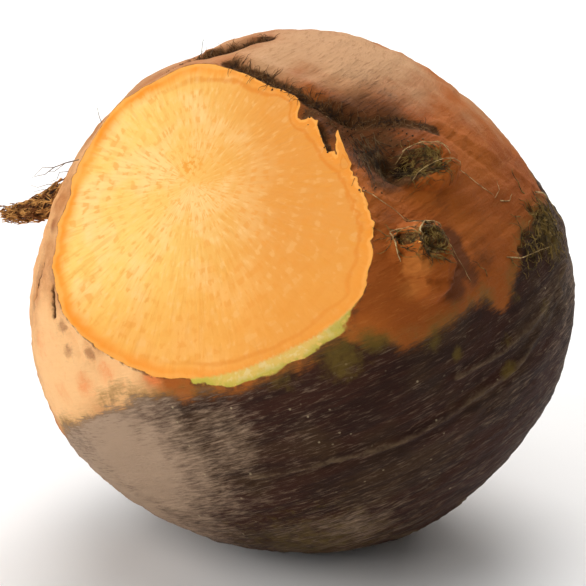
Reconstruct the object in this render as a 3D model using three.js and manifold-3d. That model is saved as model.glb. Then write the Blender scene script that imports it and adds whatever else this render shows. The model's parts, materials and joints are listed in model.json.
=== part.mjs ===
// A rutabaga (swede) with a slice cut off beside its root end, standing on a small flat spot near its crown.
// Units are millimetres and +Z is up. The origin is the middle of the flat spot that it stands on.
// A direction is [turn, tilt] in degrees, seen from the heart of the globe: turn goes from the front (-Y)
// towards the right (+X), and tilt is the height above the horizon.
import * as THREE from "three";
import { mergeVertices, toCreasedNormals } from "three/addons/utils/BufferGeometryUtils.js";
import Module from "manifold-3d";

// Driving dimensions.
const GLOBE_RADIUS = 60.1; // mean radius of the swollen root
const HEART = new THREE.Vector3(-0.4, -0.3, 59.0); // the middle of the globe above the flat spot
const GLOBE_DETAIL = 17; // splits of each edge of the starting icosahedron, for facets of about 4 mm
const CUT = { faces: [-34, 35.5], depth: 48.2 }; // the knife's plane, and its distance from the heart
const LIP = { faces: [-14, 19], depth: 60.4 }; // the narrow bevel where the knife rolled out of the root
const BLOCK = 400; // side of the blocks that stand for the knife's waste and for the table
const SIDES = 14; // facets around a side root
const CREASE = 25; // edges sharper than this many degrees stay crisp
const WELD = 0.001; // points nearer to each other than this are one point

// Swellings and hollows of the globe: direction, reach in degrees, rise in mm.
const LOBES = [
  { at: [-80, -24], reach: 30, rise: 3.8 }, // low shoulder on the left
  { at: [109, 42], reach: 34, rise: -2.3 }, // flatter upper back
  { at: [88, -5], reach: 30, rise: 2.6 }, // right shoulder
  { at: [10, 12], reach: 26, rise: 5.5 }, // the flank that swells out below the cut
  { at: [32, 44], reach: 26, rise: -2.0 }, // the shallow valley where the side roots grew
  { at: [13, 19], reach: 11, rise: 1.2 }, // fuller flank at the right of the cut
  { at: [0, 7], reach: 11, rise: -1.4 }, // leaner flank below the cut
  { at: [-40, -1], reach: 16, rise: -1.0 }, // leaner flank at the lower left of the cut
  { at: [-81, 49], reach: 8, rise: 1.6 }, // fuller rim at the upper left
  { at: [-101, 52], reach: 10, rise: -1.4 }, // and the flatter skin behind it
  { at: [15, 55], reach: 9, rise: -2.6 }, // dark fold beside the cut
  { at: [28, 42], reach: 6, rise: -4.2 }, // hollow next to the upper side root
  { at: [21, 28], reach: 5, rise: -2.4 }, // hollow next to the lower side root
  { at: [32, 23], reach: 10, rise: 3.2 }, // mound that carries the lower side root
  { at: [44, 45], reach: 9, rise: 2.0 }, // mound that carries the upper side root
  { at: [73, 20], reach: 8, rise: 1.0 }, // scarred knob on the right
  { at: [80, -64], reach: 17, rise: 1.6 }, // low mound of the crown
  { at: [80, -64], reach: 5, rise: -2.6 }, // the bud's hollow in it
];

// Broken side roots: where each leaves the globe, where it points, its length beyond the skin, and the radii
// at its foot and at its broken end.
const SIDE_ROOTS = [
  { at: [38, 43], points: [26, 41], length: 3.6, foot: 5.6, end: 3.9 },
  { at: [26, 23.5], points: [22, 29], length: 5.0, foot: 7.4, end: 3.5 },
];
const ROOT_SUNK = 7; // how deep the foot of a side root is set into the globe
// The shape of every side root. Heights are shares of its length beyond the skin.
const WAIST = { up: 0.45, shrunk: 2 / 3 }; // the flank: height, and share of the way to the end's radius
const SHOULDER = 0.8; // height where it reaches the end's radius
const BREAK = { ring: 0.72, middle: 0.86 }; // the broken face: radius of its top ring, height of its middle

// The hairy root left on the far left: a tapered peg that points away from the globe and droops to its tip.
const TAIL = {
  foot: [-44, 3, 25], // mm from the heart
  points: [-88, -3],
  length: 23,
  radius: 3.0,
  tipRadius: 1.6,
  rings: 6,
  droop: 6, // how far the tip sinks below the straight line
};

const UP = new THREE.Vector3(0, 1, 0); // the axis that lathes and cylinders are made on

function direction([turn, tilt]) {
  const a = THREE.MathUtils.degToRad(turn);
  const b = THREE.MathUtils.degToRad(tilt);
  return new THREE.Vector3(Math.sin(a) * Math.cos(b), -Math.cos(a) * Math.cos(b), Math.sin(b));
}

function bell(distance, reach) {
  return Math.exp(-((distance / reach) ** 2));
}

// Radius of the uncut globe in a direction, from the mean radius and every lobe.
function globeRadius(toward) {
  let radius = GLOBE_RADIUS;
  for (const { at, reach, rise } of LOBES) {
    radius += rise * bell(THREE.MathUtils.radToDeg(toward.angleTo(direction(at))), reach);
  }
  return radius;
}

function globe() {
  const geometry = new THREE.IcosahedronGeometry(1, GLOBE_DETAIL);
  const places = geometry.getAttribute("position");
  const point = new THREE.Vector3();
  for (let i = 0; i < places.count; i++) {
    point.fromBufferAttribute(places, i).normalize();
    point.multiplyScalar(globeRadius(point)).add(HEART);
    places.setXYZ(i, point.x, point.y, point.z);
  }
  return geometry;
}

// A short peg with a sunk foot, a concave flank and a bluntly broken end.
function sideRoot({ at, points, length, foot, end }) {
  const profile = [
    [0, -ROOT_SUNK],
    [foot, -ROOT_SUNK],
    [foot, 0],
    [THREE.MathUtils.lerp(foot, end, WAIST.shrunk), length * WAIST.up],
    [end, length * SHOULDER],
    [end * BREAK.ring, length],
    [0, length * BREAK.middle],
  ];
  const geometry = new THREE.LatheGeometry(profile.map(([x, y]) => new THREE.Vector2(x, y)), SIDES);
  geometry.applyQuaternion(new THREE.Quaternion().setFromUnitVectors(UP, direction(points)));
  const skin = direction(at);
  skin.multiplyScalar(globeRadius(skin)).add(HEART);
  return geometry.translate(skin.x, skin.y, skin.z);
}

// A tapered peg with closed ends, bent down along its length.
function tail({ foot, points, length, radius, tipRadius, rings, droop }) {
  const geometry = new THREE.CylinderGeometry(tipRadius, radius, length, SIDES, rings);
  geometry.translate(0, length / 2, 0);
  const along = direction(points);
  geometry.applyQuaternion(new THREE.Quaternion().setFromUnitVectors(UP, along));
  const places = geometry.getAttribute("position");
  const point = new THREE.Vector3();
  for (let i = 0; i < places.count; i++) {
    point.fromBufferAttribute(places, i);
    const share = point.dot(along) / length;
    places.setZ(i, point.z - droop * share * share);
  }
  const start = new THREE.Vector3(...foot).add(HEART);
  return geometry.translate(start.x, start.y, start.z);
}

// A block whose near side is the plane that faces a direction at a depth from the heart.
function waste({ faces, depth }) {
  const outward = direction(faces);
  const block = new THREE.BoxGeometry(BLOCK, BLOCK, BLOCK);
  block.translate(0, 0, BLOCK / 2);
  block.applyQuaternion(new THREE.Quaternion().setFromUnitVectors(new THREE.Vector3(0, 0, 1), outward));
  const near = HEART.clone().addScaledVector(outward, depth);
  return block.translate(near.x, near.y, near.z);
}

const wasm = await Module();
wasm.setup();

function solidOf(geometry) {
  const bare = geometry.clone();
  bare.deleteAttribute("normal");
  bare.deleteAttribute("uv");
  const merged = mergeVertices(bare, WELD);
  const solid = new wasm.Manifold(
    new wasm.Mesh({
      numProp: 3,
      vertProperties: new Float32Array(merged.getAttribute("position").array),
      triVerts: new Uint32Array(merged.index.array),
    }),
  );
  if (solid.volume() <= 0) throw new Error("a solid is inside out");
  return solid;
}

function geometryOf(solid) {
  const mesh = solid.getMesh();
  const geometry = new THREE.BufferGeometry();
  geometry.setAttribute("position", new THREE.BufferAttribute(mesh.vertProperties, 3));
  geometry.setIndex(new THREE.BufferAttribute(mesh.triVerts, 1));
  return toCreasedNormals(geometry, THREE.MathUtils.degToRad(CREASE));
}

function rutabaga() {
  const table = new THREE.BoxGeometry(BLOCK, BLOCK, BLOCK).translate(0, 0, -BLOCK / 2);
  let root = solidOf(globe());
  for (const stub of SIDE_ROOTS) root = root.add(solidOf(sideRoot(stub)));
  root = root.add(solidOf(tail(TAIL)));
  return root
    .subtract(solidOf(waste(CUT)))
    .subtract(solidOf(waste(LIP)))
    .subtract(solidOf(table));
}

const skin = new THREE.MeshStandardMaterial({ color: 0x8a5a3a, roughness: 0.7, metalness: 0 });
const body = new THREE.Mesh(geometryOf(rutabaga()), skin);
body.name = "rutabaga";

const group = new THREE.Group();
group.add(body);
export default group;
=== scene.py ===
# %% [markdown]
# # A rutabaga with a slice cut off
# A rutabaga, or swede, is the swollen root of a cabbage plant. Its crown end, where the leaves stood, is
# purple, and its root end is tan and carries side roots. This one lies on its shoulder beside the crown, and
# a knife has taken a slice off the flank near the root end, so a round face of orange flesh shows.
# The script loads the CAD solid as a fixed frame, grows a finer body in its place, adds the root hairs,
# fibres and crumbs of soil, and then sets the camera, the floor and the lights. Everything is in metres, but
# sizes on the skin are named in millimetres, because that is how a root is measured.

# %% The fixed frame
import json
import math
import random

import bmesh
import bpy
import numpy as np
from mathutils import Matrix, Quaternion, Vector, noise


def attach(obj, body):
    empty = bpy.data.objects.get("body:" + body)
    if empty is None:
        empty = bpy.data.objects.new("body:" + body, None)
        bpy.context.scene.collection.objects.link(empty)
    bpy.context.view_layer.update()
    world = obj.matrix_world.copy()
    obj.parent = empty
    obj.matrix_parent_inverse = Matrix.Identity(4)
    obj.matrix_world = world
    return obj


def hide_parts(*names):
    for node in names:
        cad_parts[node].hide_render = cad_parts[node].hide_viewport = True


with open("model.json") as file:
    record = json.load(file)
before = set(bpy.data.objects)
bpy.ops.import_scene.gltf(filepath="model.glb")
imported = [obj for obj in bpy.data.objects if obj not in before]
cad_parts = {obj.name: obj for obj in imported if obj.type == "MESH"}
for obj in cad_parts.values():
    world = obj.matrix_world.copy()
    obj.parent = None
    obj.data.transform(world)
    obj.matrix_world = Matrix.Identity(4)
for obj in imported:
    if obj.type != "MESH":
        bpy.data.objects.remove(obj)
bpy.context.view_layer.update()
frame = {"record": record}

# %% [markdown]
# ## Places on the skin
# A place is named by the direction in which it is seen from the heart of the globe: [turn, tilt] in degrees,
# turning from the front (-Y) towards the right (+X), and tilting above the horizon. Blender could also take
# places from a UV map, but a direction stays true however the skin is pushed in or out along it.

# %% Directions from the heart
MM = 0.001
CUT_DEPTH = 48.2  # mm from the heart to the knife's plane


def toward(turn, tilt):
    """The unit vector of a direction."""
    a, b = math.radians(turn), math.radians(tilt)
    return Vector((math.sin(a) * math.cos(b), -math.cos(a) * math.cos(b), math.sin(b)))


mounts = {mount["name"]: mount for mount in frame["record"]["mounts"]}
cut_normal = Vector(mounts["cut_face"]["axis"]).normalized()
heart = Vector(mounts["cut_face"]["pos_m"]) - cut_normal * CUT_DEPTH * MM
ROOT_END = (-105, 66)  # where the growing axis leaves the globe, at the foot of the taproot
CROWN = (80, -64)  # where the leaves stood
growing_axis = toward(*ROOT_END)
print("heart of the globe, mm:", [round(x / MM, 1) for x in heart])

# %% Helpers for heights over the skin
# Every helper takes an array of rays, the unit vectors from the heart, and gives one number for each.
GLOBE_RADIUS = 60.1  # mm, as in the CAD solid


def angles_to(rays, place):
    """Angle in degrees from each ray to one place."""
    return np.degrees(np.arccos(np.clip(rays @ np.array(toward(*place)), -1, 1)))


def bell(distance, reach):
    """1 in the middle, falling smoothly to nothing past its reach."""
    return np.exp(-((distance / reach) ** 2))


def rise(low, high, value):
    """0 up to low, 1 from high, and a smooth rise between; it falls where low is above high."""
    t = np.clip((value - low) / (high - low), 0, 1)
    return t * t * (3 - 2 * t)


def mm_to(rays, place):
    """Distance in mm along the skin from each ray to one place."""
    return np.radians(angles_to(rays, place)) * GLOBE_RADIUS


def mm_to_line(rays, places):
    """Distance in mm along the skin from each ray to a line through several places."""
    nearest = np.full(len(rays), 1e9)
    corners = [np.array(toward(*place)) for place in places]
    for a, b in zip(corners, corners[1:]):
        share = np.clip((rays - a) @ (b - a) / ((b - a) @ (b - a)), 0, 1)
        nearest = np.minimum(nearest, np.linalg.norm(rays - a - share[:, None] * (b - a), axis=1))
    return nearest * GLOBE_RADIUS


def rough(points, size, seed, octaves=3):
    """Natural unevenness, about -1 to 1, over points in mm, with lumps of a size in mm."""
    shift = Vector((seed * 7.3, seed * 3.1, seed * 5.7))
    return np.array([noise.fractal(Vector(p) / size + shift, 1.0, 2.1, octaves) for p in points])


# The same ray, seen in the growing frame: its third number counts along the growing axis.
grow_turn = growing_axis.rotation_difference(Vector((0, 0, 1)))
grow_matrix = np.array(grow_turn.to_matrix())


def growing_mm(rays, stretch=1.0):
    """Each ray's point on the globe in the growing frame, squeezed along the rings by a stretch."""
    return rays @ grow_matrix.T * GLOBE_RADIUS * np.array((1, 1, stretch))


# %% [markdown]
# ## The height of the skin
# On the real root the globe swells unevenly, folds round its side roots and wrinkles as it dries. It could be
# sculpted with brushes, but a brush stroke can't be read or repeated, so every swelling is written as a small
# height in mm over the globe: a place, a reach and a rise. The broad ones are the CAD solid's own.

# %% Broad lobes, as in the CAD solid
LOBES = [  # place, reach in degrees, rise in mm
    ((-80, -24), 30, 3.8),  # low shoulder on the left
    ((109, 42), 34, -2.3),  # flatter upper back
    ((88, -5), 30, 2.6),  # right shoulder
    ((10, 12), 26, 5.5),  # the flank that swells out below the cut
    ((32, 44), 26, -2.0),  # the shallow valley where the side roots grew
    ((80, -64), 17, 1.6),  # low mound of the crown
    ((80, -64), 5, -2.6),  # the bud's hollow in it
]


def globe_height(rays):
    height = np.full(len(rays), GLOBE_RADIUS)
    for place, reach, lift in LOBES:
        height += lift * bell(angles_to(rays, place), reach)
    return height


# %% Folds, hollows and mounds
RIM_WAVES = [  # place, reach in degrees, rise in mm: the flank's own waves, which the cut's rim follows
    ((13, 25), 11, 0.5), ((13, 17), 11, 1.1), ((4, 10), 11, -1.0), ((-6, 3), 11, -0.9),
    ((-18, -1), 11, -0.4), ((-33, -2), 11, -0.8), ((-49, 0), 11, -0.9), ((-81, 49), 8, 1.6),
    ((-101, 52), 10, -1.4), ((-74, 63), 8, 0.9), ((-106, 66), 9, -0.9), ((-14, 69), 9, -0.5),
    ((0, 62), 7, -0.3), ((14, 36), 9, 1.5), ((-97.5, 18), 7, -3.0), ((-114, 49), 6.5, 1.5),
    ((-129, 60), 7, -1.2), ((102, 30), 7, -1.1), ((92, 5), 3, 0.9),
]
DENTS = [  # place, reach in degrees, rise in mm
    ((18, 55.5), 7.5, -3.2),  # dark fold beside the cut
    ((27, 50), 7, -1.8),  # the fold runs on down
    ((24.5, 45.5), 4.5, -1.6),  # and deepens towards the side root
    ((30.6, 43.8), 3.7, -5.6),  # deep hollow next to the upper side root
    ((23, 37), 5, -1.4),  # the hollow's lower end
    ((-1.5, 60), 2.3, -2.0),  # notch in the cut's rim
    ((-9, 65), 3.5, 0.8),  # swollen lip of the rim
    ((28, 19), 9, 2.4),  # mound that carries the lower side root
    ((43, 45), 8, 2.0),  # mound that carries the upper side root
    ((43, 36), 6, 0.9),  # swelling between the side roots
    ((73, 20), 8, 1.0),  # scarred knob on the right
    ((86, 17), 4, 1.0),  # bulge on the right outline
    ((-70, 2), 4, 0.6),  # bulge on the left outline
    ((-75.5, 26), 2.4, -0.9),  # fold in the left rim
]
CREASES = [  # line of places, width in mm, rise in mm
    (((-58, 71), (-45, 71), (-25, 70), (-9, 67), (1, 64), (12, 61), (21, 59)), 1.2, -1.5),  # along the rim
    (((-58, 74), (-40, 74.5), (-20, 73), (-2, 69.5), (12, 64), (22, 61.5)), 1.6, 0.6),  # skin rolled over it
    (  # by the taproot
        ((-85, 65), (-81, 69), (-77.2, 72.6), (-77.3, 76.6), (-84.8, 80.5), (-98, 83)), 1.1, -1.6,
    ),
    (((-88, 69.5), (-85, 73.7), (-90, 78), (-99, 82.8)), 1.0, 1.0),  # flake beyond it
    (((21, 59), (30, 57), (39, 55), (48, 50)), 1.4, -0.5),  # the fold's upper edge
    (((7, 56), (8, 52.5), (8.5, 50.4)), 0.6, -1.9),  # gap where the rim is torn
    (((11.8, 53.5), (12, 50), (12.3, 45.5)), 0.85, 3.0),  # the torn shard that stands beside it
    (((-74, 12), (-74, 9), (-75, 5), (-76, 3)), 0.5, -0.7),  # crack on the left
    (((-66, 8.5), (-65, 6), (-63.5, 4)), 1.0, -1.6),  # short crease on the left
    (((-61, 3), (-59, -1), (-56, -4)), 0.5, -0.5),  # left side of an oval scar
    (((-58, 3), (-54, 0), (-53, -3)), 0.5, -0.6),  # right side of it
    (((-51, 1), (-49, -2)), 0.9, -0.8),  # oval pit
    (((-11, -21), (6, -15), (20, -12), (36, -6), (50, -2), (69, 7)), 0.9, 0.9),  # long ridge
    (((-11, -23), (6, -17), (20, -14), (36, -8), (50, -4), (69, 5)), 0.9, -0.6),  # its groove
    (((31, 0), (44, 2), (59, 6), (74, 11)), 0.7, 0.7),  # ridge above it
    (((8, -12), (24, -9), (40, -3), (54, 2), (70, 10)), 0.5, -0.5),  # groove between them
    (((-20, -27), (2, -23), (22, -18), (42, -10), (60, -2), (76, 7)), 0.5, -0.45),  # groove below them
    (((-38, -16), (-20, -12), (0, -5), (14, -1)), 0.5, -0.35),  # short groove in front
    (((-36, -27), (-15, -20), (-2, -16), (12, -14)), 0.9, 0.3),  # pale ridge low in front
    (((26, 33), (24, 36), (17, 38)), 0.8, 0.35),  # wrinkle between the roots
    (((52, 52), (62, 44), (70, 36), (78, 28)), 1.2, 0.4),  # ridge down the right shoulder
    (((48, 50), (57, 42), (64, 34)), 1.0, -0.35),  # groove beside it
    (((20, 25.5), (24.5, 23.6), (29, 23.4), (32, 25)), 0.5, -0.5),  # ring wrinkle round the lower side root
    (((20, 21.5), (24.5, 19.8), (29, 19.4), (33, 21)), 0.6, -0.5),  # and another lower down
]
TORN_RIM = ((4, 58), (9, 55), (12, 50), (13, 42), (14, 35), (14.5, 30))  # where the rim is ragged
TORN_REACH, TORN_LUMP = 2.2, 1.4  # mm to each side of that line, and the size of its shreds
TORN_RISE, TORN_LIFT = 0.8, 0.25  # mm: height of the shreds, and of the swollen skin under them
SOILED = [0, 2, 4, 5, 7, 8]  # the creases that hold soil, by their order above
HIGHLIT_RIDGES = [12, 14]  # the ridges whose back is painted pale, a painted highlight
PIT_DEPTH, PIT_REACH = 1.1, 0.9  # mm
PITS = [(84, 26), (69, 24), (72, 21), (71, 18), (64, 17), (60, 22), (56, 20), (78, 22), (67, 26)]


def folds(rays):
    """Everything on the skin between 1 and 10 mm across, in mm."""
    height = np.zeros(len(rays))
    for place, reach, lift in RIM_WAVES + DENTS:
        height += lift * bell(angles_to(rays, place), reach)
    for places, width, lift in CREASES:
        height += lift * bell(mm_to_line(rays, places), width)
    for place in PITS:
        height -= PIT_DEPTH * bell(mm_to(rays, place), PIT_REACH)
    torn = bell(mm_to_line(rays, TORN_RIM), TORN_REACH)
    return height + TORN_RISE * torn * rough(growing_mm(rays), TORN_LUMP, 9) + TORN_LIFT * torn


# %% Side roots
SIDE_ROOTS = [  # foot, broken end, then mm: radius of the end, radius of the foot, height, hollow in the end
    ((38.2, 42.2), (34.4, 43.0), 3.5, 6.0, 4.6, 0.7),
    ((25.2, 20.5), (25.5, 26.9), 3.1, 5.6, 7.0, 1.2),
    ((20, 25), (20.6, 27.8), 1.3, 2.6, 2.4, 2.6),
]
LEAN_REACH = 2.2  # foot radii over which a peg leans towards its end
LOWEST = 0.35  # share of its height that a peg has on the far side from its end
LUMPS, SHREDS = 4.5, 1.5  # mm: size of the unevenness of a peg, and of the shreds of its end
SHRED_RISE = 0.9  # mm


def side_roots(rays):
    """Pegs that lean from their foot to their broken end, which is hollow and ragged."""
    height = np.zeros(len(rays))
    ragged = rough(growing_mm(rays), SHREDS, 5)
    lumpy = rough(growing_mm(rays), LUMPS, 8)
    uneven = lumpy + 0.5 * ragged
    for foot_place, end_place, end, foot, tall, hollow in SIDE_ROOTS:
        away = mm_to(rays, end_place) + uneven
        slope = mm_to_line(rays, (foot_place, end_place)) + uneven
        leaning = rise(LEAN_REACH * foot, 0, away)
        height += tall * rise(foot, end, slope) * (LOWEST + (1 - LOWEST) * leaning)
        height -= hollow * rise(end * 0.9, end * 0.4, away)
        height += SHRED_RISE * ragged * rise(end * 1.3, end * 0.8, away)
    return height


# %% The crown's leaf scars
SCAR_GAP = 3.4  # degrees from one ring of scars to the next
SCAR_STEP = 0.75  # mm down from the edge of one scar to the next
SCARS_FADE = (24, 17)  # degrees from the bud between which the scars fade in
BUD = (2, 5)  # degrees from the bud's middle between which its smooth tip ends


def leaf_scars(rays):
    """Low steps left by the leaf stalks, in rings round the bud."""
    away = angles_to(rays, CROWN)
    waves = rough(growing_mm(rays), 9, 6)
    ring = away / SCAR_GAP + 0.8 * waves
    return SCAR_STEP * (ring - np.floor(ring) - 0.5) * rise(*SCARS_FADE, away) * rise(*BUD, away)


# %% Wrinkles of the skin
def latitude(rays):
    """Degrees above the globe's own equator, towards the root end."""
    return np.degrees(np.arcsin(np.clip(rays @ np.array(growing_axis), -1, 1)))


WRINKLES = [(7, 16, 0.34), (5, 5, 0.16), (1, 9, 0.28)]  # stretch along the rings, size in mm, rise in mm


def wrinkles(rays):
    """Growth rings, finer wrinkles along them, and low lumps, in mm."""
    height = np.zeros(len(rays))
    for seed, (stretch, size, rise_mm) in enumerate(WRINKLES, start=1):
        height += rise_mm * rough(growing_mm(rays, stretch), size, seed)
    return height


def skin_height(rays):
    """Distance in mm from the heart to the finished, uncut skin."""
    return globe_height(rays) + folds(rays) + side_roots(rays) + leaf_scars(rays) + wrinkles(rays)


# %% [markdown]
# ## The knife's cut
# The slice was taken with one stroke, so the face is flat, and the knife rolled outwards as it left the flesh
# at the lower right, which left a narrow bevelled lip there. A Boolean with a big block would cut it, but it
# leaves long thin triangles. Instead the cut is one more height: the knife's surface, as far out as each ray
# meets it.

# %% The knife's surface
cut_right = (Vector((1, 0, 0)) - cut_normal * cut_normal.x).normalized()
cut_up = cut_normal.cross(cut_right)
LIP_LINE = [  # degrees round the face from its right-hand side, mm from its middle to where the lip begins
    (-104, 44), (-92.5, 35.6), (-79, 36.4), (-66, 37.6), (-56, 39.3), (-48, 41.4), (-40, 43.3), (-33, 45),
    (-26, 50),
]
LIP_SLOPE = 0.45  # mm down for each mm out
FACING = 0.3  # the least of a ray that points at a plane, for the plane to be met near the root
FAR = 1e3  # mm, for what is never met


def knife_height(rays):
    """Distance in mm from the heart to the knife's surface, very far where a ray never meets it."""
    along = rays @ np.array(cut_normal)
    right, over = rays @ np.array(cut_right), rays @ np.array(cut_up)
    lip_angles, lip_starts = np.array(LIP_LINE).T
    start = np.interp(np.degrees(np.arctan2(over, right)), lip_angles, lip_starts, left=90, right=90)
    faced = np.maximum(along, FACING)
    slope = np.hypot(right, over) / faced
    flat = CUT_DEPTH / faced
    bevel = (CUT_DEPTH + LIP_SLOPE * start) / (faced * (1 + slope * LIP_SLOPE))
    return np.where(along > FACING, np.minimum(flat, bevel), FAR)


# %% [markdown]
# ## The body
# Skin, flesh, crown and side roots are one grown piece, so one closed mesh is made. An icosphere is used,
# because its even triangles have no poles to hide. Its edges are split again where the skin is busy, and each
# point is slid along its ray to the skin. Then the knife's plane scores a clean ring of edges, and the points
# beyond it are slid back onto the knife's surface. The flat spot at the floor is made in the same way.

# %% The icosphere, split where it is busy
BUSY_ZONES = [  # place, reach in degrees, how many times its edges are split
    ((26, 38), 27, 1),
    ((-62, 2), 15, 1),
    ((-104, 74), 10, 1),
    ((67, 21), 13, 1),
    ((38, 44), 7.5, 2),
    ((29, 26.5), 9.5, 2),
]
RIM_REACH = 4  # mm above and below the knife's surface in which edges are split


def busy(rays, level):
    """Which rays lie where the edges are split at this level."""
    chosen = np.zeros(len(rays), bool)
    for place, reach, splits in BUSY_ZONES:
        if splits >= level:
            chosen |= angles_to(rays, place) < reach
    if level == 1:
        chosen |= np.abs(skin_height(rays) - knife_height(rays)) < RIM_REACH
    return chosen


def mesh_of(bm, name):
    """Turns a finished bmesh into a mesh."""
    mesh = bpy.data.meshes.new(name)
    bm.to_mesh(mesh)
    bm.free()
    return mesh


def placed(name, data):
    """A new object in the scene."""
    made = bpy.data.objects.new(name, data)
    bpy.context.scene.collection.objects.link(made)
    return made


bm = bmesh.new()
bmesh.ops.create_icosphere(bm, subdivisions=7, radius=1)
for level in (1, 2):
    bm.verts.index_update()
    chosen = busy(np.array([v.co.normalized() for v in bm.verts]), level)
    edges = [e for e in bm.edges if chosen[e.verts[0].index] and chosen[e.verts[1].index]]
    bmesh.ops.subdivide_edges(bm, edges=edges, cuts=1, use_grid_fill=True)
    bmesh.ops.triangulate(bm, faces=[f for f in bm.faces if len(f.verts) > 3])
print("triangles on the globe:", len(bm.faces))

# %% Skin, cut and flat spot
rays = np.array([v.co.normalized() for v in bm.verts])
for v, ray, height in zip(bm.verts, rays, skin_height(rays)):
    v.co = heart + Vector(ray) * float(height) * MM
PLANES = [(heart + cut_normal * CUT_DEPTH * MM, cut_normal), (Vector((0, 0, 0)), Vector((0, 0, 1)))]
for point, normal in PLANES:
    everything = bm.verts[:] + bm.edges[:] + bm.faces[:]
    bmesh.ops.bisect_plane(bm, geom=everything, dist=1e-6, plane_co=point, plane_no=normal)
bmesh.ops.triangulate(bm, faces=[f for f in bm.faces if len(f.verts) > 3])

rays = np.array([(v.co - heart).normalized() for v in bm.verts])
knife = knife_height(rays)
lengths = np.array([(v.co - heart).length for v in bm.verts]) / MM
peel = lengths - knife  # mm of root that the knife has taken off over each point
flat_face = CUT_DEPTH / np.maximum(rays @ np.array(cut_normal), FACING)
lip = rise(0.02, 0.25, flat_face - knife) * (knife < FAR)
down = np.where(rays[:, 2] < -FACING, -heart.z / MM / np.minimum(rays[:, 2], -FACING), FAR)
lengths = np.minimum(lengths, np.minimum(knife, down))
for v, ray, length in zip(bm.verts, rays, lengths):
    v.co = heart + Vector(ray) * float(length) * MM
body_mesh = mesh_of(bm, "rutabaga_body")
body_mesh.shade_smooth()
body = placed("rutabaga_body", body_mesh)
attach(body, "root")
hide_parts("rutabaga")
print("body triangles:", len(body_mesh.polygons), "deepest cut, mm:", round(float(peel.max()), 1))

# %% [markdown]
# ## Where each colour goes
# Colours on a root follow its growth: purple on the crown's side of a wavering line, tan beyond it, and soil
# in the folds. They could be painted by hand as a texture. Here each is a number stored on every point, which
# the material reads and breaks up with fine patterns, so no texture is drawn and nothing is read from disk.
# Some of these numbers paint light and shade as well, where it says so below.

# %% Masks on the body
PURPLE_EDGE = [  # places along the line between purple and tan, from left to right
    (-73, -27), (-56, -18), (-40, -8), (-25, -4), (-12, 0), (0, 6), (7, 11), (17, 9), (25, 9), (31, 12),
    (37, 14), (45, 11), (52, 16), (57, 21), (66, 24), (80, 24), (94, 34), (115, 36),
]


def longitude(rays):
    """Degrees round the growing axis."""
    turned = rays @ grow_matrix.T
    return np.degrees(np.arctan2(turned[:, 1], turned[:, 0]))


def purple_side(rays):
    """mm past the line between tan and purple, more than 0 on the purple side."""
    ends = np.array([toward(*place) for place in PURPLE_EDGE])
    order = np.argsort(longitude(ends))
    line = np.interp(longitude(rays), longitude(ends)[order], latitude(ends)[order], period=360)
    return np.radians(line - latitude(rays)) * GLOBE_RADIUS


# The spot of strength 1.5 fills the deep hollow beside the upper side root, so the soil there reaches its
# near-black step, which paints the hollow's shade.
SOIL_SPOTS = [  # place, reach in degrees, strength
    ((11, 59.5), 4, 0.5), ((20, 57), 6, 0.4), ((3, 60), 3, 0.75), ((14, 56), 3, 0.6), ((-52, 71), 3, 0.9),
    ((30, 52), 6, 0.6), ((30.6, 43.8), 3.8, 1.5), ((25, 47), 5, 0.9), ((36, 50), 4, 0.5), ((20, 40), 4, 0.5),
    ((-81, 69.5), 2.2, 1.3), ((-79, 71.5), 2.0, 1.1), ((-77.5, 75), 1.8, 1.0), ((-100, 62), 7, 0.45),
]
PIT_SOIL, BUD_SOIL = 0.9, 0.8  # how much soil a pit and the bud hold


def soil_mask(rays):
    """Where soil sits: creases, folds, pits, broken ends and the bud."""
    soil = np.zeros(len(rays))
    for places, width, lift in [CREASES[i] for i in SOILED]:
        soil = np.maximum(soil, bell(mm_to_line(rays, places), 1.3 * width))
    for place, reach, strength in SOIL_SPOTS:
        soil = np.maximum(soil, strength * bell(angles_to(rays, place), reach))
    for place in PITS:
        soil = np.maximum(soil, PIT_SOIL * bell(mm_to(rays, place), 1.1))
    return np.maximum(soil, BUD_SOIL * bell(angles_to(rays, CROWN), 6))


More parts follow.
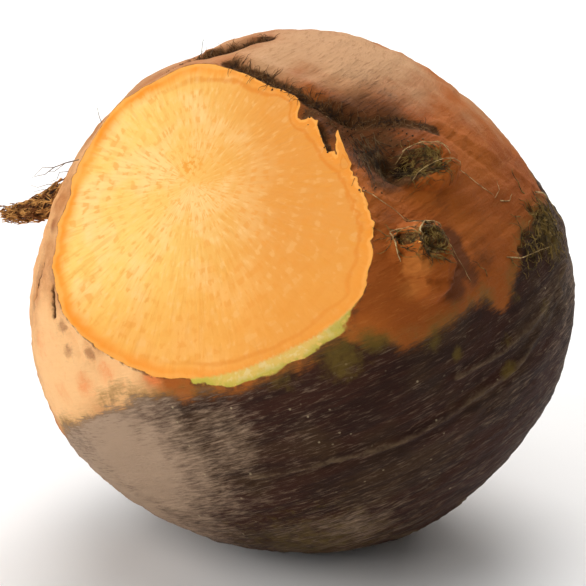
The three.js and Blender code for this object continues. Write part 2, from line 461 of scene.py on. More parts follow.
PATCHES = {  # soft round patches: place, reach in degrees, strength
    "dusty": [
        ((70, 80), 24, 1.0), ((-30, 80), 14, 0.9), ((98, 45), 20, 0.55), ((-150, 45), 60, 0.9),
        ((75, 50), 12, 0.4), ((140, 30), 40, 0.8),
    ],
    # soil with painted shade: the dark brown of the fold and hollow between the cut and the side roots
    "fold_dirt_and_shade": [
        ((20, 49), 5, 1.3), ((23.5, 45.5), 4, 1.2), ((14, 58), 10, 1.2), ((28, 57), 11, 1.1),
        ((26, 50), 9, 1.2), ((24, 43), 6, 1.1), ((36, 62), 10, 0.7), ((48, 33), 9, 0.35),
        ((38, 52), 7, 0.8), ((42, 22), 6, 0.6),
    ],
    "corky": [
        ((-59.5, 2.5), 2.4, 0.85), ((-57, -2), 2.4, 0.85), ((-50, -0.5), 2.0, 1.0), ((-90, 55), 8, 0.7),
        ((-75, 9), 4, 0.8), ((-66, 12), 4, 0.8), ((-76, 2), 3, 0.7), ((-90, 30), 12, 0.6),
    ],
    "flushed": [
        ((-52, -8), 4, 0.8), ((-60, -12), 5, 0.6), ((-45, -3.5), 4, 0.75), ((-32, -1.2), 3, 1.0),
        ((-70, -4), 6, 0.6), ((12, 36), 1.6, 1.0), ((40, 10), 6, 0.5),
    ],
    # painted light on the left flank of the lower side root
    "lit_flank": [((21.5, 23), 3.2, 1.0), ((20.5, 19), 3.6, 0.8), ((23, 28.5), 1.8, 1.1), ((23, 16), 4, 0.5)],
    # painted shade on the right flank of the lower side root and in a few hollows
    "shaded": [
        ((33.6, 26), 3.6, 1.3), ((33.8, 22), 3.8, 1.3), ((30.5, 18), 4, 1.0), ((37, 19), 3.5, 0.8),
        ((32, 21), 3.8, 0.9), ((31, 26), 3, 0.8), ((36, 35), 4, 0.5), ((19, 33), 4, 0.5), ((50, 24), 4, 0.4),
    ],
    "rosy": [
        ((-94, 45), 9, 0.9), ((-98, 53), 9, 0.95), ((-104, 62), 10, 0.85), ((-88, 39), 6, 0.8),
        ((-76, 20), 2.5, 0.9),
    ],
    "pale": [((-62, -8), 24, 1.0), ((-42, -5), 14, 0.9), ((-95, 10), 34, 0.8), ((-80, 40), 20, 0.6)],
    "olive": [
        ((5, -50), 30, 0.5), ((-4, 3), 5, 0.5), ((31, 5), 2.0, 0.8), ((46, -3), 3.0, 0.8), ((25, 9), 4, 0.6),
        ((7, 7), 6, 0.7), ((13, 11), 4, 0.8), ((50, 12), 3, 0.5), ((72, 20), 9, 0.75), ((60, 6), 4, 0.5),
        ((45, 4), 3, 0.5),
    ],
    # dry dusty bloom on the purple; on the lower left in front it also paints the light that grazes there
    "dry": [
        ((-42, -24), 20, 1.1), ((-60, -38), 26, 0.9), ((-18, -12), 14, 0.35), ((100, 0), 30, 0.45),
        ((150, -20), 60, 0.6), ((10, -45), 18, 0.35),
    ],
}


def root_ends(rays):
    """1 on the broken ends of the side roots."""
    ends = [rise(end * 1.15, end * 0.75, mm_to(rays, place)) for _, place, end, *_ in SIDE_ROOTS]
    return np.max(ends, axis=0)


def patches(rays, spots):
    """The strongest of several soft round patches: place, reach in degrees, strength."""
    layers = [strength * bell(angles_to(rays, place), reach) for place, reach, strength in spots]
    return np.max(layers, axis=0)


masks = {
    "peel": peel,
    "purple": purple_side(rays),
    "soil": soil_mask(rays),
    **{name: patches(rays, spots) for name, spots in PATCHES.items()},
    "ridge": np.max([bell(mm_to_line(rays, CREASES[i][0]), 1.2) for i in HIGHLIT_RIDGES], axis=0),
    "lip": lip,
    "root_end": root_ends(rays),
    "crown": rise(26, 18, angles_to(rays, CROWN)),
}
for name, values in masks.items():
    attribute = body_mesh.attributes.new(name, "FLOAT", "POINT")
    attribute.data.foreach_set("value", np.asarray(values, np.float32))
print("masks:", {name: (round(float(v.min()), 2), round(float(v.max()), 2)) for name, v in masks.items()})

# %% [markdown]
# ## Materials
# Rutabaga skin is a thin, waxy cork over orange flesh. Raw skin has an index of refraction near 1.4 and is
# dull where it is dry, and cut flesh is wet, so it is smoother. Light also spreads inside the flesh, and here
# that is left to the flesh's colours. One function adds a node with its settings and links, and a list of
# layers says what lies over what, as a painter would glaze it.


# %% Colours and nodes
def linear(hex_colour):
    """An sRGB hex colour as linear red, green, blue and alpha."""
    values = [int(hex_colour[i : i + 2], 16) / 255 for i in (1, 3, 5)]
    return [v / 12.92 if v <= 0.04045 else ((v + 0.055) / 1.055) ** 2.4 for v in values] + [1.0]


def node(tree, kind, inputs=None, **settings):
    """Adds one node. inputs gives a value, or the output to link, for each input by name or number."""
    made = tree.nodes.new("ShaderNode" + kind)
    for name, value in settings.items():
        setattr(made, name, value)
    for socket, value in (inputs or {}).items():
        if isinstance(value, bpy.types.NodeSocket):
            tree.links.new(value, made.inputs[socket])
        else:
            made.inputs[socket].default_value = value
    return made


def new_material(name):
    material = bpy.data.materials.new(name)
    material.use_nodes = True
    return material, material.node_tree, material.node_tree.nodes["Principled BSDF"]


def layered(tree, colour, layers):
    """Lays colours over one another: each layer is a mask and the colour that it shows."""
    for mask, over in layers:
        over = over if isinstance(over, bpy.types.NodeSocket) else linear(over)
        colour = node(tree, "Mix", {0: mask, 6: colour, 7: over}, data_type="RGBA").outputs[2]
    return colour


# %% [markdown]
# ### Patterns of the skin and flesh
# The skin's streaks run round the growing axis, so its pattern is laid in the growing frame. The flesh's
# dashes point to the root's core and sit in rings round it, so its pattern is laid flat on the cut, as the
# direction from the core and the distance from it.

# %% Material: waxy skin over cut flesh
body_material, tree, surface = new_material("rutabaga skin and cut flesh")
place = node(tree, "TexCoord").outputs["Object"]
grow_shift = -(grow_turn @ heart)
growing = node(
    tree, "Mapping",
    {"Vector": place, "Rotation": grow_turn.to_euler(), "Location": grow_shift},
).outputs[0]
mask = {name: node(tree, "Attribute", attribute_name=name).outputs["Fac"] for name in masks}

# Noise patterns: stretch along the rings, lump size in mm, detail, roughness.
NOISES = {
    "streak": ((1, 1, 8), 3.6, 6, 0.7),
    "ring": ((1, 1, 7), 16, 4, 0.6),
    "mottle": ((1, 1, 1), 8, 6, 0.6),
    "blotch": ((1, 1, 1), 22, 3, 0.5),
    "grit": ((1, 1, 2), 0.9, 3, 0.6),
    "ragged": ((1, 1, 1), 2.4, 6, 0.7),
}
pattern = {}
for name, (stretch, size, detail, roughness) in NOISES.items():
    squeezed = node(tree, "VectorMath", {0: growing, 1: stretch}, operation="MULTIPLY").outputs[0]
    pattern[name] = node(
        tree, "TexNoise",
        {"Vector": squeezed, "Scale": 1 / (size * MM), "Detail": detail, "Roughness": roughness},
    ).outputs["Fac"]


def band_in(tree, value, low, high, top=1.0, bottom=0.0):
    """A smooth step of a value: bottom up to low, top from high on."""
    return node(
        tree, "MapRange",
        {"Value": value, "From Min": low, "From Max": high, "To Min": bottom, "To Max": top},
        interpolation_type="SMOOTHSTEP",
    ).outputs[0]


def band(*settings):
    """The same step, in the body's material."""
    return band_in(body_material.node_tree, *settings)


def sum_of(value, other, times=1.0):
    """value + other * times."""
    return node(tree, "Math", {0: other, 1: times, 2: value}, operation="MULTIPLY_ADD").outputs[0]


def broken(mask_name, pattern_name, times):
    """A mask whose edge is broken up by a pattern."""
    return sum_of(mask[mask_name], pattern[pattern_name], times)


def product(*values):
    """All the values multiplied."""
    result = values[0]
    for value in values[1:]:
        result = node(tree, "Math", {0: result, 1: value}, operation="MULTIPLY").outputs[0]
    return result


purple_edge = sum_of(broken("purple", "mottle", 8.0), pattern["streak"], 6.0)
purple = band(purple_edge, 5.6, 9.0)
halo = band(purple_edge, 2, 6)
bloom_and_painted_light = sum_of(broken("dry", "streak", 1.5), pattern["mottle"], 0.8)
freckles = node(tree, "TexVoronoi", {"Vector": growing, "Scale": 1 / (2.4 * MM), "Randomness": 1.0})
freckle = band(freckles.outputs["Distance"], 0.16, 0.06)
freckle_here = band(node(tree, "SeparateColor", {0: freckles.outputs["Color"]}).outputs[0], 0.62, 0.66)

soil_raw = sum_of(broken("soil", "ragged", 0.9), pattern["mottle"], 0.5)
soil = band(soil_raw, 1.05, 1.4)
skin_colour = layered(tree, linear("#AA5B1E"), [
    (band(pattern["blotch"], 0.4, 0.62, 0.6), "#8A4212"),
    (band(pattern["streak"], 0.52, 0.7, 0.35), "#C67A38"),
    (band(broken("dusty", "mottle", 0.9), 0.65, 1.35, 0.9), "#C2966C"),
    (band(broken("pale", "mottle", 0.8), 0.65, 1.25, 0.95), "#F9C386"),
    (product(mask["pale"], band(pattern["blotch"], 0.45, 0.6, 0.6)), "#F3AE70"),
    # painted light and painted shade on the flanks of the lower side root
    (band(broken("lit_flank", "streak", 0.7), 0.7, 1.3, 0.8), "#B26A2C"),
    (band(broken("shaded", "streak", 0.7), 0.62, 1.15, 0.85), "#5E3216"),
    (product(band(pattern["streak"], 0.5, 0.66, 0.5), mask["dusty"]), "#8C5A32"),
    # dirt in the fold by the cut, darkened with painted shade, and its dark streaks
    (band(broken("fold_dirt_and_shade", "mottle", 0.8), 0.75, 1.35, 0.92), "#5E3517"),
    (product(mask["fold_dirt_and_shade"], band(pattern["streak"], 0.48, 0.64, 0.7)), "#341A08"),
    (product(band(pattern["ragged"], 0.55, 0.7, 0.3), mask["pale"]), "#F49B5E"),
    (band(broken("flushed", "ragged", 0.9), 0.8, 1.5, 0.8), "#EE8748"),
    (band(broken("corky", "ragged", 0.9), 0.85, 1.3, 0.85), "#B98458"),
    (band(broken("rosy", "mottle", 0.9), 0.75, 1.5, 0.9), "#AE6A3C"),
    (product(mask["rosy"], band(pattern["mottle"], 0.5, 0.66, 0.5)), "#7C4A2C"),
    (product(mask["corky"], band(pattern["grit"], 0.5, 0.66, 0.3)), "#7D5434"),
    (product(band(purple_edge, 2.0, 6.5, 0.75), band(pattern["mottle"], 0.38, 0.6, 1.0, 0.25)), "#86602A"),
    (purple, "#381D12"),
    (product(purple, band(pattern["blotch"], 0.5, 0.62, 0.6)), "#42301C"),
    (product(purple, band(pattern["ring"], 0.44, 0.62, 0.7)), "#26150E"),
    (product(purple, band(pattern["streak"], 0.5, 0.66, 0.42)), "#604936"),
    # painted highlight along the backs of the two long ridges
    (product(purple, band(broken("ridge", "ragged", 1.1), 1.0, 1.7, 0.6)), "#7A644A"),
    # dry bloom, lighter on the lower left where it paints the grazing key light
    (product(purple, band(bloom_and_painted_light, 1.2, 2.1, 0.85)), "#B2967C"),
    (product(purple, freckle, freckle_here, band(pattern["mottle"], 0.45, 0.6, 0.7)), "#B3A07E"),
    (product(band(broken("olive", "ragged", 1.0), 0.8, 1.25, 0.75), halo), "#66521C"),
    (product(mask["crown"], band(pattern["mottle"], 0.4, 0.6, 0.7)), "#7D6A4E"),
    (band(broken("root_end", "ragged", 0.8), 0.85, 1.15, 0.9), "#4C3014"),
    (product(mask["root_end"], band(pattern["grit"], 0.48, 0.62, 0.5)), "#85703A"),
    (soil, "#57361C"),
    (product(soil, band(pattern["grit"], 0.5, 0.7, 0.5)), "#7A5A36"),
    # soil with painted shade: near-black where the soil is thickest, mainly in the deep hollow beside the
    # upper side root
    (band(soil_raw, 1.65, 2.05, 0.9), "#180B04"),
])

# The flesh: coordinates on the cut, with the core's middle as their origin.
CORE = (-1.8, 8.6)  # mm right and up from the middle of the face
cut_turn = Matrix((cut_right, cut_up, cut_normal)).to_quaternion()
core_point = heart + cut_normal * CUT_DEPTH * MM + cut_right * CORE[0] * MM + cut_up * CORE[1] * MM
on_cut = node(
    tree, "Mapping",
    {"Vector": place, "Rotation": cut_turn.to_euler(), "Location": -(cut_turn @ core_point)},
).outputs[0]
flat_on_cut = node(tree, "VectorMath", {0: on_cut, 1: (1, 1, 0)}, operation="MULTIPLY").outputs[0]
from_core = node(tree, "VectorMath", {0: flat_on_cut}, operation="LENGTH").outputs["Value"]
spoke = node(tree, "VectorMath", {0: flat_on_cut}, operation="NORMALIZE").outputs[0]
PITH = (-0.7 * MM, 4.2 * MM, 0)  # the darker point of the pith, from the core's middle
DASHES = {  # spokes in the full round, length along a spoke in mm, detail
    "dash": (120, 3.2, 2),
    "line": (170, 9, 3),
}
flesh_pattern = {}
for name, (spokes, length, detail) in DASHES.items():
    wide = node(tree, "VectorMath", {0: spoke, 3: spokes / 6}, operation="SCALE").outputs[0]
    wide_x, wide_y, _ = node(tree, "SeparateXYZ", {0: wide}).outputs
    out = node(tree, "Math", {0: from_core, 1: 1 / (length * MM)}, operation="MULTIPLY").outputs[0]
    where = node(tree, "CombineXYZ", {0: wide_x, 1: wide_y, 2: out}).outputs[0]
    flesh_pattern[name] = node(
        tree, "TexNoise", {"Vector": where, "Scale": 1.0, "Detail": detail, "Distortion": 0.25},
    ).outputs["Fac"]
RING_GAP, RING_WAVE = 3.1, 5.0  # mm between the rings of dashes, radians by which the rings waver
cloud = node(tree, "TexNoise", {"Vector": on_cut, "Scale": 1 / (11 * MM), "Detail": 3}).outputs["Fac"]
grain = node(tree, "TexNoise", {"Vector": on_cut, "Scale": 1 / (1.3 * MM), "Detail": 4}).outputs["Fac"]
bark = sum_of(mask["peel"], cloud, 1.6)
ring_turn = product(from_core, math.tau / (RING_GAP * MM))
ring_wave = node(tree, "Math", {0: sum_of(ring_turn, cloud, RING_WAVE)}, operation="SINE").outputs[0]
in_ring = band(ring_wave, -0.4, 0.5, 1.0, 0.35)
pith_point = node(tree, "VectorMath", {0: flat_on_cut, 1: PITH}, operation="DISTANCE").outputs["Value"]
rightwards, upwards, _ = node(tree, "SeparateXYZ", {0: on_cut}).outputs  # metres from the core's middle
# painted light: the left of the cut, where the key light falls and shines through the flesh, is painted
# yellower
painted_light_left = band(rightwards, 0.022, -0.018, 0.75)
dark_dash = product(band(flesh_pattern["dash"], 0.5, 0.6, 0.6), in_ring, band(cloud, 0.35, 0.55, 1.0, 0.4))
light_dash = product(band(flesh_pattern["dash"], 0.46, 0.36, 0.3), in_ring)
bark_fades = product(band(rightwards, 0.03, -0.02, 1.0, 0.45), band(cloud, 0.3, 0.6, 0.95, 0.6))
bark_band = product(band(bark, 3.3, 1.5), bark_fades)
bark_line = product(band(bark, 3.5, 3.05), band(bark, 2.5, 2.95), band(rightwards, -0.02, 0.016, 0.6, 0.05))
flesh_colour = layered(tree, linear("#EBA14A"), [
    (painted_light_left, "#FFD876"),
    # lighter clouds, kept to the left of the cut as painted light
    (product(band(cloud, 0.42, 0.62, 0.45), band(rightwards, 0.03, 0.0)), "#FFD998"),
    (product(band(upwards, -0.012, -0.034, 0.55), band(cloud, 0.3, 0.6, 1.0, 0.6)), "#F9AE48"),
    (dark_dash, "#EE9C3C"),
    (light_dash, "#FFD690"),
    # painted shade towards the right of the cut
    (band(rightwards, 0.006, 0.026, 0.45), "#DE8C36"),
    (product(band(pith_point, 0.0042, 0.001), band(grain, 0.46, 0.56, 0.75)), "#EE962C"),
    (product(band(flesh_pattern["line"], 0.5, 0.66, 0.3), band(from_core, 0.012, 0.028)), "#E6952F"),
    (product(band(from_core, 0.016, 0.006), band(grain, 0.55, 0.64, 0.5)), "#F2A038"),
    (bark_band, "#F88F14"),
    (bark_line, "#E2801A"),
    (band(bark, 1.6, 1.1, 0.6), "#FDB257"),
    (band(upwards, -0.016, -0.036, 0.4), "#E8973A"),
    (product(mask["lip"], band(cloud, 0.3, 0.45, 0.95, 0.8)), "#E2BC62"),
    (product(mask["lip"], band(grain, 0.5, 0.66, 0.3)), "#F3E6B8"),
    (product(mask["lip"], band(mask["peel"], 0.7, 0.05), band(grain, 0.3, 0.5, 0.8)), "#B3A63A"),
    (product(mask["lip"], band(rightwards, 0.016, 0.0, 0.55)), "#C3B340"),
])

flesh = band(mask["peel"], -0.06, 0.10)  # flesh shows where the knife has taken anything off
edge_line = product(band(mask["peel"], -0.5, -0.05), band(pattern["ragged"], 0.42, 0.6, 0.8))
with_edge = layered(tree, skin_colour, [(edge_line, "#5E3A20")])
body_colour = layered(tree, with_edge, [(flesh, flesh_colour)])

SOIL_DULL, WET_FLESH = 0.95, 0.5  # roughness of dry soil and of wet cut flesh
RELIEF = 0.5 * MM  # height of the finest unevenness, too small for the mesh
skin_relief = sum_of(sum_of(product(pattern["streak"], 0.5), pattern["grit"], 0.35), pattern["ragged"], 0.6)
spoke_relief = product(flesh_pattern["line"], band(from_core, 0.005, 0.018))
flesh_relief = sum_of(product(grain, 0.35), spoke_relief, 0.5)
relief = node(tree, "Mix", {0: flesh, 2: skin_relief, 3: flesh_relief}, data_type="FLOAT").outputs[0]
bump = node(tree, "Bump", {"Height": relief, "Strength": 1.0, "Distance": RELIEF}).outputs[0]
skin_dull = band(purple, 0, 1, 0.7, 0.72)
dullness = node(tree, "Mix", {0: soil, 2: skin_dull, 3: SOIL_DULL}, data_type="FLOAT").outputs[0]
roughness = node(tree, "Mix", {0: flesh, 2: dullness, 3: WET_FLESH}, data_type="FLOAT").outputs[0]
for socket, value in {"Base Color": body_colour, "Roughness": roughness, "Normal": bump}.items():
    tree.links.new(value, surface.inputs[socket])
surface.inputs["IOR"].default_value = 1.4
surface.inputs["Specular IOR Level"].default_value = 0.18
body_mesh.materials.append(body_material)

# %% [markdown]
# ## Hairs, fibres and soil
# A lifted rutabaga keeps part of its taproot as a tuft of fibres, fine hairs on its side roots, a web of dry
# threads in its scars and crumbs of soil in its creases. A hair system could grow them, but it gives no solid
# shape to export, so each thread is a line with a round bevel, made into a closed mesh.

# %% Materials of the threads and the soil
def fibrous(name, dark, light, roughness=0.85):
    """Dry plant fibre: two browns that change every few millimetres."""
    material, tree, surface = new_material(name)
    place = node(tree, "TexCoord").outputs["Object"]
    change = node(tree, "TexNoise", {"Vector": place, "Scale": 1 / (1.6 * MM), "Detail": 3}).outputs["Fac"]
    colour = layered(tree, linear(dark), [(band_in(tree, change, 0.4, 0.62), light)])
    tree.links.new(colour, surface.inputs["Base Color"])
    surface.inputs["Roughness"].default_value = roughness
    surface.inputs["Specular IOR Level"].default_value = 0.3
    return material


tuft_fibre = fibrous("dry taproot fibre", "#6A3A10", "#CF9650")  # golden patches, at random along the fibres, are painted highlights
tuft_shade_core = fibrous("dark taproot core for shade", "#2E190B", "#5A3715")  # painted shade: a dark core, seen only between the fibres, where their shade falls
olive_fibre = fibrous("dry olive root thread", "#3E2E12", "#8A6E34")
pale_fibre = fibrous("bleached root thread", "#86663A", "#C4A672")
brown_fibre = fibrous("dark root hair", "#3A2412", "#7A5630")
soil_crumb = fibrous("clinging garden soil", "#3A2412", "#6E5030", 0.95)

# %% One way to make threads
chance = random.Random(4)


def surface_mm(rays):
    """Distance in mm from the heart to the finished surface, skin or cut."""
    return np.minimum(skin_height(rays), knife_height(rays))


def creep(start, heading, length, wiggle, lift=0.2, stand=0.0, steps=7):
    """A thread over the skin from a place: heading in degrees from rightwards to upwards, length in mm,
    wiggle in radians at each step, lift of its middle and stand of its far end in mm."""
    ray, course, line = toward(*start), math.radians(heading), []
    for i in range(steps + 1):
        share = i / steps
        line.append((ray.copy(), lift * math.sin(math.pi * share) + stand * share))
        right = Vector((0, 0, 1)).cross(ray).normalized()
        step = right * math.cos(course) + ray.cross(right) * math.sin(course)
        ray = (ray + step * (length / steps / GLOBE_RADIUS)).normalized()
        course += chance.gauss(0, wiggle)
    return line


def through(places, lifts, steps=14):
    """A thread over the skin through several places, with its lift in mm at each."""
    marks = np.linspace(0, 1, len(places))
    rays = np.array([toward(*place) for place in places])
    line = []
    for share in np.linspace(0, 1, steps):
        ray = Vector([float(np.interp(share, marks, rays[:, axis])) for axis in range(3)]).normalized()
        line.append((ray, float(np.interp(share, marks, lifts)) + chance.gauss(0, 0.05)))
    return line


def settled(lines):
    """Turns lines of rays and lifts into lines of points in metres."""
    rays = np.array([ray for line, *_ in lines for ray, _ in line])
    heights = iter(surface_mm(rays))
    return [
        ([heart + ray * (next(heights) + lift) * MM for ray, lift in line], *ends)
        for line, *ends in lines
    ]


def threads(name, lines, material):
    """One closed mesh of tapering threads: each line is its points, then its thickness in mm at both ends."""
    curve = bpy.data.curves.new(name, "CURVE")
    curve.dimensions = "3D"
    curve.bevel_depth = 0.5 * MM
    curve.bevel_resolution = 0
    curve.use_fill_caps = True
    for points, thick, thin in lines:
        spline = curve.splines.new("POLY")
        spline.points.add(len(points) - 1)
        for i, (point, target) in enumerate(zip(points, spline.points)):
            target.co = (*point, 1)
            target.radius = thick + (thin - thick) * i / (len(points) - 1)
    shape = bpy.data.objects.new(name, curve)
    mesh = bpy.data.meshes.new_from_object(shape)
    bpy.data.objects.remove(shape)
    return piece(name, mesh, material)


def piece(name, mesh, material):
    """Tidies a mesh and makes it a part of the root."""
    bm = bmesh.new()
    bm.from_mesh(mesh)
    bmesh.ops.recalc_face_normals(bm, faces=bm.faces)
    bm.to_mesh(mesh)
    bm.free()
    mesh.name = name
    mesh.shade_smooth()
    mesh.materials.clear()
    mesh.materials.append(material)
    made = placed(name, mesh)
    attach(made, "root")
    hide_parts("rutabaga")
    print(name, "faces:", len(mesh.polygons))
    return made


# %% [markdown]
# ### The tuft of the taproot
# Only the fibres of the broken taproot are left: a clump 8 mm thick, which narrows to a blunt, frayed tip.
# Its fibres run from the skin to the tip and curl round one another, over a dark, lumpy core that paints the
# shade between them.

# %% Tuft
TUFT_FOOT, TUFT_TIP = Vector((-52, 0, 24.2)), Vector((-67.6, 3, 17.2))  # mm from the heart
TUFT_WIDE, TUFT_THIN = 3.9, 1.2  # mm, radius of the clump at both ends
TUFT_THREADS = 230
tuft_axis = (TUFT_TIP - TUFT_FOOT).normalized()
tuft_side = tuft_axis.orthogonal().normalized()


def tuft_point(share, angle, out):
    """A point in the clump: how far along it, the angle round its axis and the distance off it in mm."""
    sag = Vector((0, 0, -1.4)) * math.sin(math.pi * share)
    off = Quaternion(tuft_axis, angle) @ tuft_side * out
    return heart + (TUFT_FOOT + (TUFT_TIP - TUFT_FOOT) * share + sag + off) * MM


def curl(start_share, end_share, loose):
    """One fibre that winds along the clump."""
    angle, turns = chance.uniform(0, math.tau), chance.gauss(0, 2.2)
    depth, wave, phase = chance.uniform(0.55, 1.12), chance.uniform(6, 17), chance.uniform(0, math.tau)
    points = []
    for i in range(15):
        share = start_share + (end_share - start_share) * i / 14
        radius = TUFT_WIDE + (TUFT_THIN - TUFT_WIDE) * min(max(share, 0), 1) ** 0.8
        out = radius * depth + loose * (0.35 + share) * math.sin(wave * share + phase)
        points.append(tuft_point(share, angle + turns * share + 0.3 * math.sin(wave * 1.7 * share), out))
    return points


tuft = []
for _ in range(TUFT_THREADS):
    start = chance.uniform(-0.05, 0.55)
    line = curl(start, min(start + chance.uniform(0.35, 0.9), 1.08), chance.uniform(0.2, 1.0))
    tuft.append((line, chance.uniform(0.22, 0.42), chance.uniform(0.1, 0.2)))
threads("taproot_tuft", tuft, tuft_fibre)

core_bm = bmesh.new()
bmesh.ops.create_icosphere(core_bm, subdivisions=4, radius=1)
for v in core_bm.verts:
    share = 0.46 + 0.5 * v.co.z
    radius = 0.84 * (TUFT_WIDE + (TUFT_THIN - TUFT_WIDE) * share)
    lumpy = 1 + 0.35 * noise.noise(v.co * 3.1)
    v.co = tuft_point(share, math.atan2(v.co.y, v.co.x), radius * math.hypot(v.co.x, v.co.y) ** 0.6 * lumpy)
piece("taproot_core", mesh_of(core_bm, "taproot_core"), tuft_shade_core)

# %% Loose hairs round the tuft
LOOSE_HAIRS = [  # points in mm from the heart, thickness in mm at both ends
    (
        ((-49.6, -8.6, 33.9), (-52.5, -9.5, 33.4), (-55.2, -9, 32.2), (-57.2, -9, 30.6), (-59.6, -8, 29.8)),
        0.33, 0.12,
    ),
    (((-52.5, -9.5, 33.4), (-55.0, -10, 31.6), (-56.6, -9, 31.2)), 0.18, 0.09),
    (((-55.2, -9, 32.2), (-57.8, -8, 31.9), (-60.4, -8, 29.2)), 0.18, 0.075),
    (((-51.5, -3, 29.6), (-54.5, -4, 29.5), (-55.2, -3, 27.6), (-56.8, -2, 26.6)), 0.21, 0.075),
    (((-54, 0, 24.8), (-57.5, 0, 25.5), (-60.0, 1, 24.4), (-61.6, 1, 24.9)), 0.21, 0.075),
    (((-55, 0, 24.0), (-58.5, 0, 24.3), (-61.5, 1, 23.2)), 0.18, 0.075),
]
hairs = [([heart + Vector(point) * MM for point in line], *ends) for line, *ends in LOOSE_HAIRS]
hairs += settled([
    (creep((-89.6, 41.6), 95, 2, 0.2, stand=3.0), 0.2, 0.1),
    (creep((-86, 68), 110, 2, 0.2, stand=2.4), 0.2, 0.1),
    (creep((-84, 70), 80, 2, 0.2, stand=1.6), 0.2, 0.1),
])
threads("loose_hairs", hairs, fibrous("weathered root hair", "#5A4434", "#94795E"))

# %% [markdown]
# ### Fibres on the side roots and in the scars
# Each broken side root ends in a frayed ring of threads, and a few long ones trail across the skin. The
# scarred knob on the right is covered by a web of olive threads.

# %% Side root fibres
upper_root, lower_root, small_root = [root[1] for root in SIDE_ROOTS]
FRAYS = ((upper_root, 3.5, 90), (lower_root, 3.4, 60), (small_root, 2.0, 22))  # end, reach in mm, threads
frayed = []
for centre, reach, count in FRAYS:
    for _ in range(count):
        away, round_it = reach * math.sqrt(chance.random()), chance.uniform(0, math.tau)
        tilt = centre[1] + math.degrees(away * math.sin(round_it) / GLOBE_RADIUS)
        ring_radius = GLOBE_RADIUS * math.cos(math.radians(tilt))
        turn = centre[0] + math.degrees(away * math.cos(round_it) / ring_radius)
        heading = math.degrees(round_it) + 90 + chance.gauss(0, 35)
        line = creep((turn, tilt), heading, chance.uniform(2, 6), 0.45, chance.uniform(0, 0.5), 0.2)
        frayed.append((line, chance.uniform(0.12, 0.3), 0.08))
threads("side_root_fibres", settled(frayed), olive_fibre)

# %% Long pale threads and torn edges
TRAILING = [  # places, lift in mm at each, thickness in mm at both ends
    (
        ((29.5, 40), (33, 42), (39, 42), (45, 40), (50, 37), (57, 31)),
        (1.0, 0.8, 0.6, 0.4, 0.3, 0.0), 0.24, 0.14,
    ),
    (((57, 31), (60, 30), (63, 31)), (0.0, 0.2, 0.0), 0.3, 0.1),
    (((55, 32), (58, 33), (60, 35)), (0.0, 0.3, 0.2), 0.16, 0.08),
    (((15, 39), (18, 37), (21, 35), (23, 33), (24, 30.4)), (0.1, 0.5, 0.8, 0.9, 0.4), 0.22, 0.1),
    (((32, 47.5), (36, 48.2), (40, 46.2), (41, 42.6)), (0.5, 0.8, 0.8, 0.2), 0.36, 0.2),
    (((30, 46), (34, 48.4), (39, 47.4), (42, 44)), (0.9, 0.7, 0.8, 0.3), 0.22, 0.12),
    (((22.6, 27), (23, 29), (25, 30.4), (28, 30)), (0.3, 0.5, 0.6, 0.3), 0.5, 0.25),
    (((28, 30), (31, 28.5), (33, 26), (34, 22), (36, 18)), (0.5, 0.5, 0.3, 0.2, 0.0), 0.22, 0.1),
    (((18.8, 29.6), (18.4, 28), (18.6, 26), (19.4, 24)), (0.4, 0.5, 0.4, 0.1), 0.4, 0.2),
    (((18.8, 29.8), (20.6, 30.2), (22.6, 29.6)), (0.4, 0.5, 0.3), 0.26, 0.14),
    (((50, 20), (55, 18.5), (62, 18), (69, 17)), (0.1, 0.3, 0.4, 0.2), 0.3, 0.14),
    (((74, 28), (79, 26), (82, 22), (84, 18)), (0.3, 0.6, 0.6, 0.2), 0.4, 0.2),
]
trailing = [(through(places, lifts), *ends) for places, lifts, *ends in TRAILING]
threads("trailing_threads", settled(trailing), pale_fibre)

# %% Fibres in the fold and web over the scar
FOLD_HAIRS, WEB_HAIRS = 60, 110
fold_lines = []
for _ in range(FOLD_HAIRS):
    start = (chance.uniform(17, 28), chance.uniform(48, 56))
    line = creep(start, chance.gauss(-82, 14), chance.uniform(5, 12), 0.14, chance.uniform(0.1, 0.6))
    fold_lines.append((line, chance.uniform(0.1, 0.22), 0.08))
threads("fold_fibres", settled(fold_lines), fibrous("dry grey fold fibre", "#33220F", "#6B5030"))

web = []
for _ in range(WEB_HAIRS):
    start = (chance.gauss(68, 6), chance.gauss(21, 3.2))
    line = creep(start, chance.uniform(0, 360), chance.uniform(3, 8), 0.5, chance.uniform(0.1, 0.6))
    web.append((line, chance.uniform(0.14, 0.34), 0.08))
threads("scar_web", settled(web), olive_fibre)


# %% Fringe of the creases
def beside(corners, spread):
    """A place near a line through several places, with a spread in degrees."""
    i = chance.randrange(len(corners) - 1)
    share = chance.random()
    return [a + (b - a) * share + chance.gauss(0, spread) for a, b in zip(corners[i], corners[i + 1])]


FRINGE = ((0, 190), (2, 150), (4, 60))  # crease, by its order above, and number of hairs
FRINGE_UP = 0.5  # degrees above the crease, so that few hairs lie across the cut
fringe = []
for line_number, count in FRINGE:
    for _ in range(count):
        turn, tilt = beside(CREASES[line_number][0], 0.6)
        heading, length, stand = chance.uniform(0, 360), chance.uniform(1, 3.2), chance.uniform(0.1, 0.9)
        line = creep((turn, tilt + FRINGE_UP), heading, length, 0.5, 0.15, stand, 5)
        fringe.append((line, chance.uniform(0.1, 0.24), 0.06))
threads("crease_fringe", settled(fringe), brown_fibre)

# %% [markdown]
# ### Crumbs of soil
# Small crumbs sit in the creases and hollows. Each is a twenty-sided ball pushed out of shape, since nothing
# finer would be seen at this size.

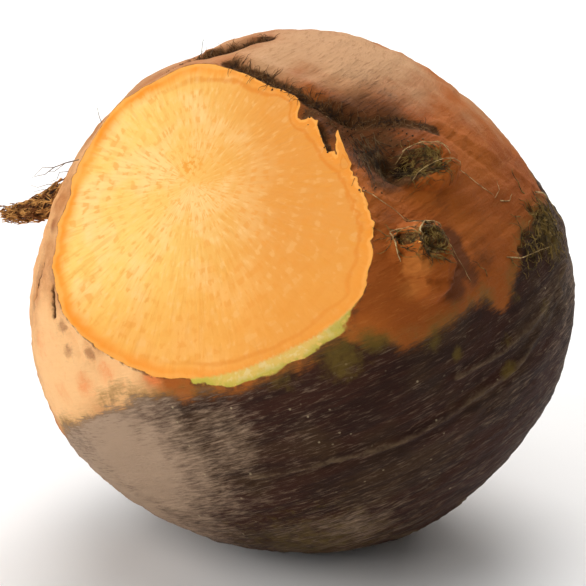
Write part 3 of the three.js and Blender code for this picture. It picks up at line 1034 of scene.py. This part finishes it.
# %% Crumbs
CREASE_CRUMBS, SPOT_CRUMBS = 34, 14  # crumbs in each of the first soiled creases and in each soil spot
CRUMB_SIZES = (0.08, 0.26)  # mm, radius
crumb_bm = bmesh.new()
crumbs = [beside(CREASES[line_number][0], 0.5) for line_number in SOILED[:4] for _ in range(CREASE_CRUMBS)]
for place, reach, _ in SOIL_SPOTS:
    for _ in range(SPOT_CRUMBS):
        crumbs.append([place[0] + chance.gauss(0, reach * 0.6), place[1] + chance.gauss(0, reach * 0.35)])
crumb_rays = [toward(*place) for place in crumbs]
for ray, height in zip(crumb_rays, surface_mm(np.array(crumb_rays))):
    size = chance.uniform(*CRUMB_SIZES)
    spot = Matrix.Translation(heart + ray * (float(height) + 0.2 * size) * MM)
    ball = bmesh.ops.create_icosphere(crumb_bm, subdivisions=1, radius=size * MM, matrix=spot)
    for v in ball["verts"]:
        v.co += Vector([chance.gauss(0, 0.16) for _ in range(3)]) * size * MM
piece("soil_crumbs", mesh_of(crumb_bm, "soil_crumbs"), soil_crumb)

# %% [markdown]
# ## The camera
# It looks at the front from a little above, through a long lens, which doesn't stretch the globe.

# %% Camera
VIEW_TILT = 20  # degrees above the horizon
VIEW_DISTANCE = 0.56
VIEW_WIDTH = 0.1348  # how much the frame shows at the heart's distance
AIM_LEFT, AIM_DOWN = 2.1 * MM, 0.7 * MM  # the middle of the frame, off the heart
view_dir = toward(0, VIEW_TILT)
view_up = toward(180, 90 - VIEW_TILT)
aim = heart - Vector((AIM_LEFT, 0, 0)) - view_up * AIM_DOWN
camera = placed("camera", bpy.data.cameras.new("camera"))
camera.data.sensor_width = 36
camera.data.lens = 36 * VIEW_DISTANCE / VIEW_WIDTH
camera.location = aim + view_dir * VIEW_DISTANCE
camera.rotation_euler = view_dir.to_track_quat("Z", "Y").to_euler()
bpy.context.scene.camera = camera

# %% [markdown]
# ## Floor and light
# The root lies on white paper. Big soft lamps behind it and at its left light the paper and the cut face, and
# little light comes from the front, so the purple half stays dark and its shadow falls towards the viewer.

# %% Floor
FLOOR_HALF = 6  # metres from the middle to the paper's edge
floor_bm = bmesh.new()
bmesh.ops.create_grid(floor_bm, x_segments=2, y_segments=2, size=FLOOR_HALF)
floor_mesh = mesh_of(floor_bm, "floor")
floor = placed("floor", floor_mesh)
paper, tree, surface = new_material("white paper")
surface.inputs["Base Color"].default_value = linear("#F3F1EF")
surface.inputs["Roughness"].default_value = 0.9
floor_mesh.materials.append(paper)

# %% Lamps
LAMPS = [  # name, place, distance and width in metres, watts
    ("key", (-55, 35), 1.1, 0.9, 5.8),
    ("low left", (-80, 12), 1.1, 0.7, 3.1),
    ("front", (10, 30), 1.2, 0.9, 1.9),
    ("back", (180, 50), 1.1, 0.9, 9.0),
    ("top", (0, 89), 1.1, 0.9, 3.6),
    ("back right", (140, 45), 1.1, 0.9, 4.4),
]
for name, direction, distance, width, watts in LAMPS:
    light = bpy.data.lights.new(name, "AREA")
    light.shape = "DISK"
    light.size = width
    light.energy = watts
    lamp = placed(name, light)
    lamp.location = heart + toward(*direction) * distance
    lamp.rotation_euler = toward(*direction).to_track_quat("Z", "Y").to_euler()

# %% Studio air
# What the lens sees past the paper is white, but only a little light comes from all round.
world = bpy.data.worlds.new("studio")
bpy.context.scene.world = world
world.use_nodes = True
tree = world.node_tree
tree.nodes.clear()
seen = node(tree, "Background", {"Color": (1, 1, 1, 1), "Strength": 1.0}).outputs[0]
fill = node(tree, "Background", {"Color": (1, 0.98, 0.95, 1), "Strength": 0.045}).outputs[0]
straight = node(tree, "LightPath").outputs["Is Camera Ray"]
both = node(tree, "MixShader", {0: straight, 1: fill, 2: seen}).outputs[0]
node(tree, "OutputWorld", {"Surface": both})
bpy.context.scene.view_settings.view_transform = "Standard"
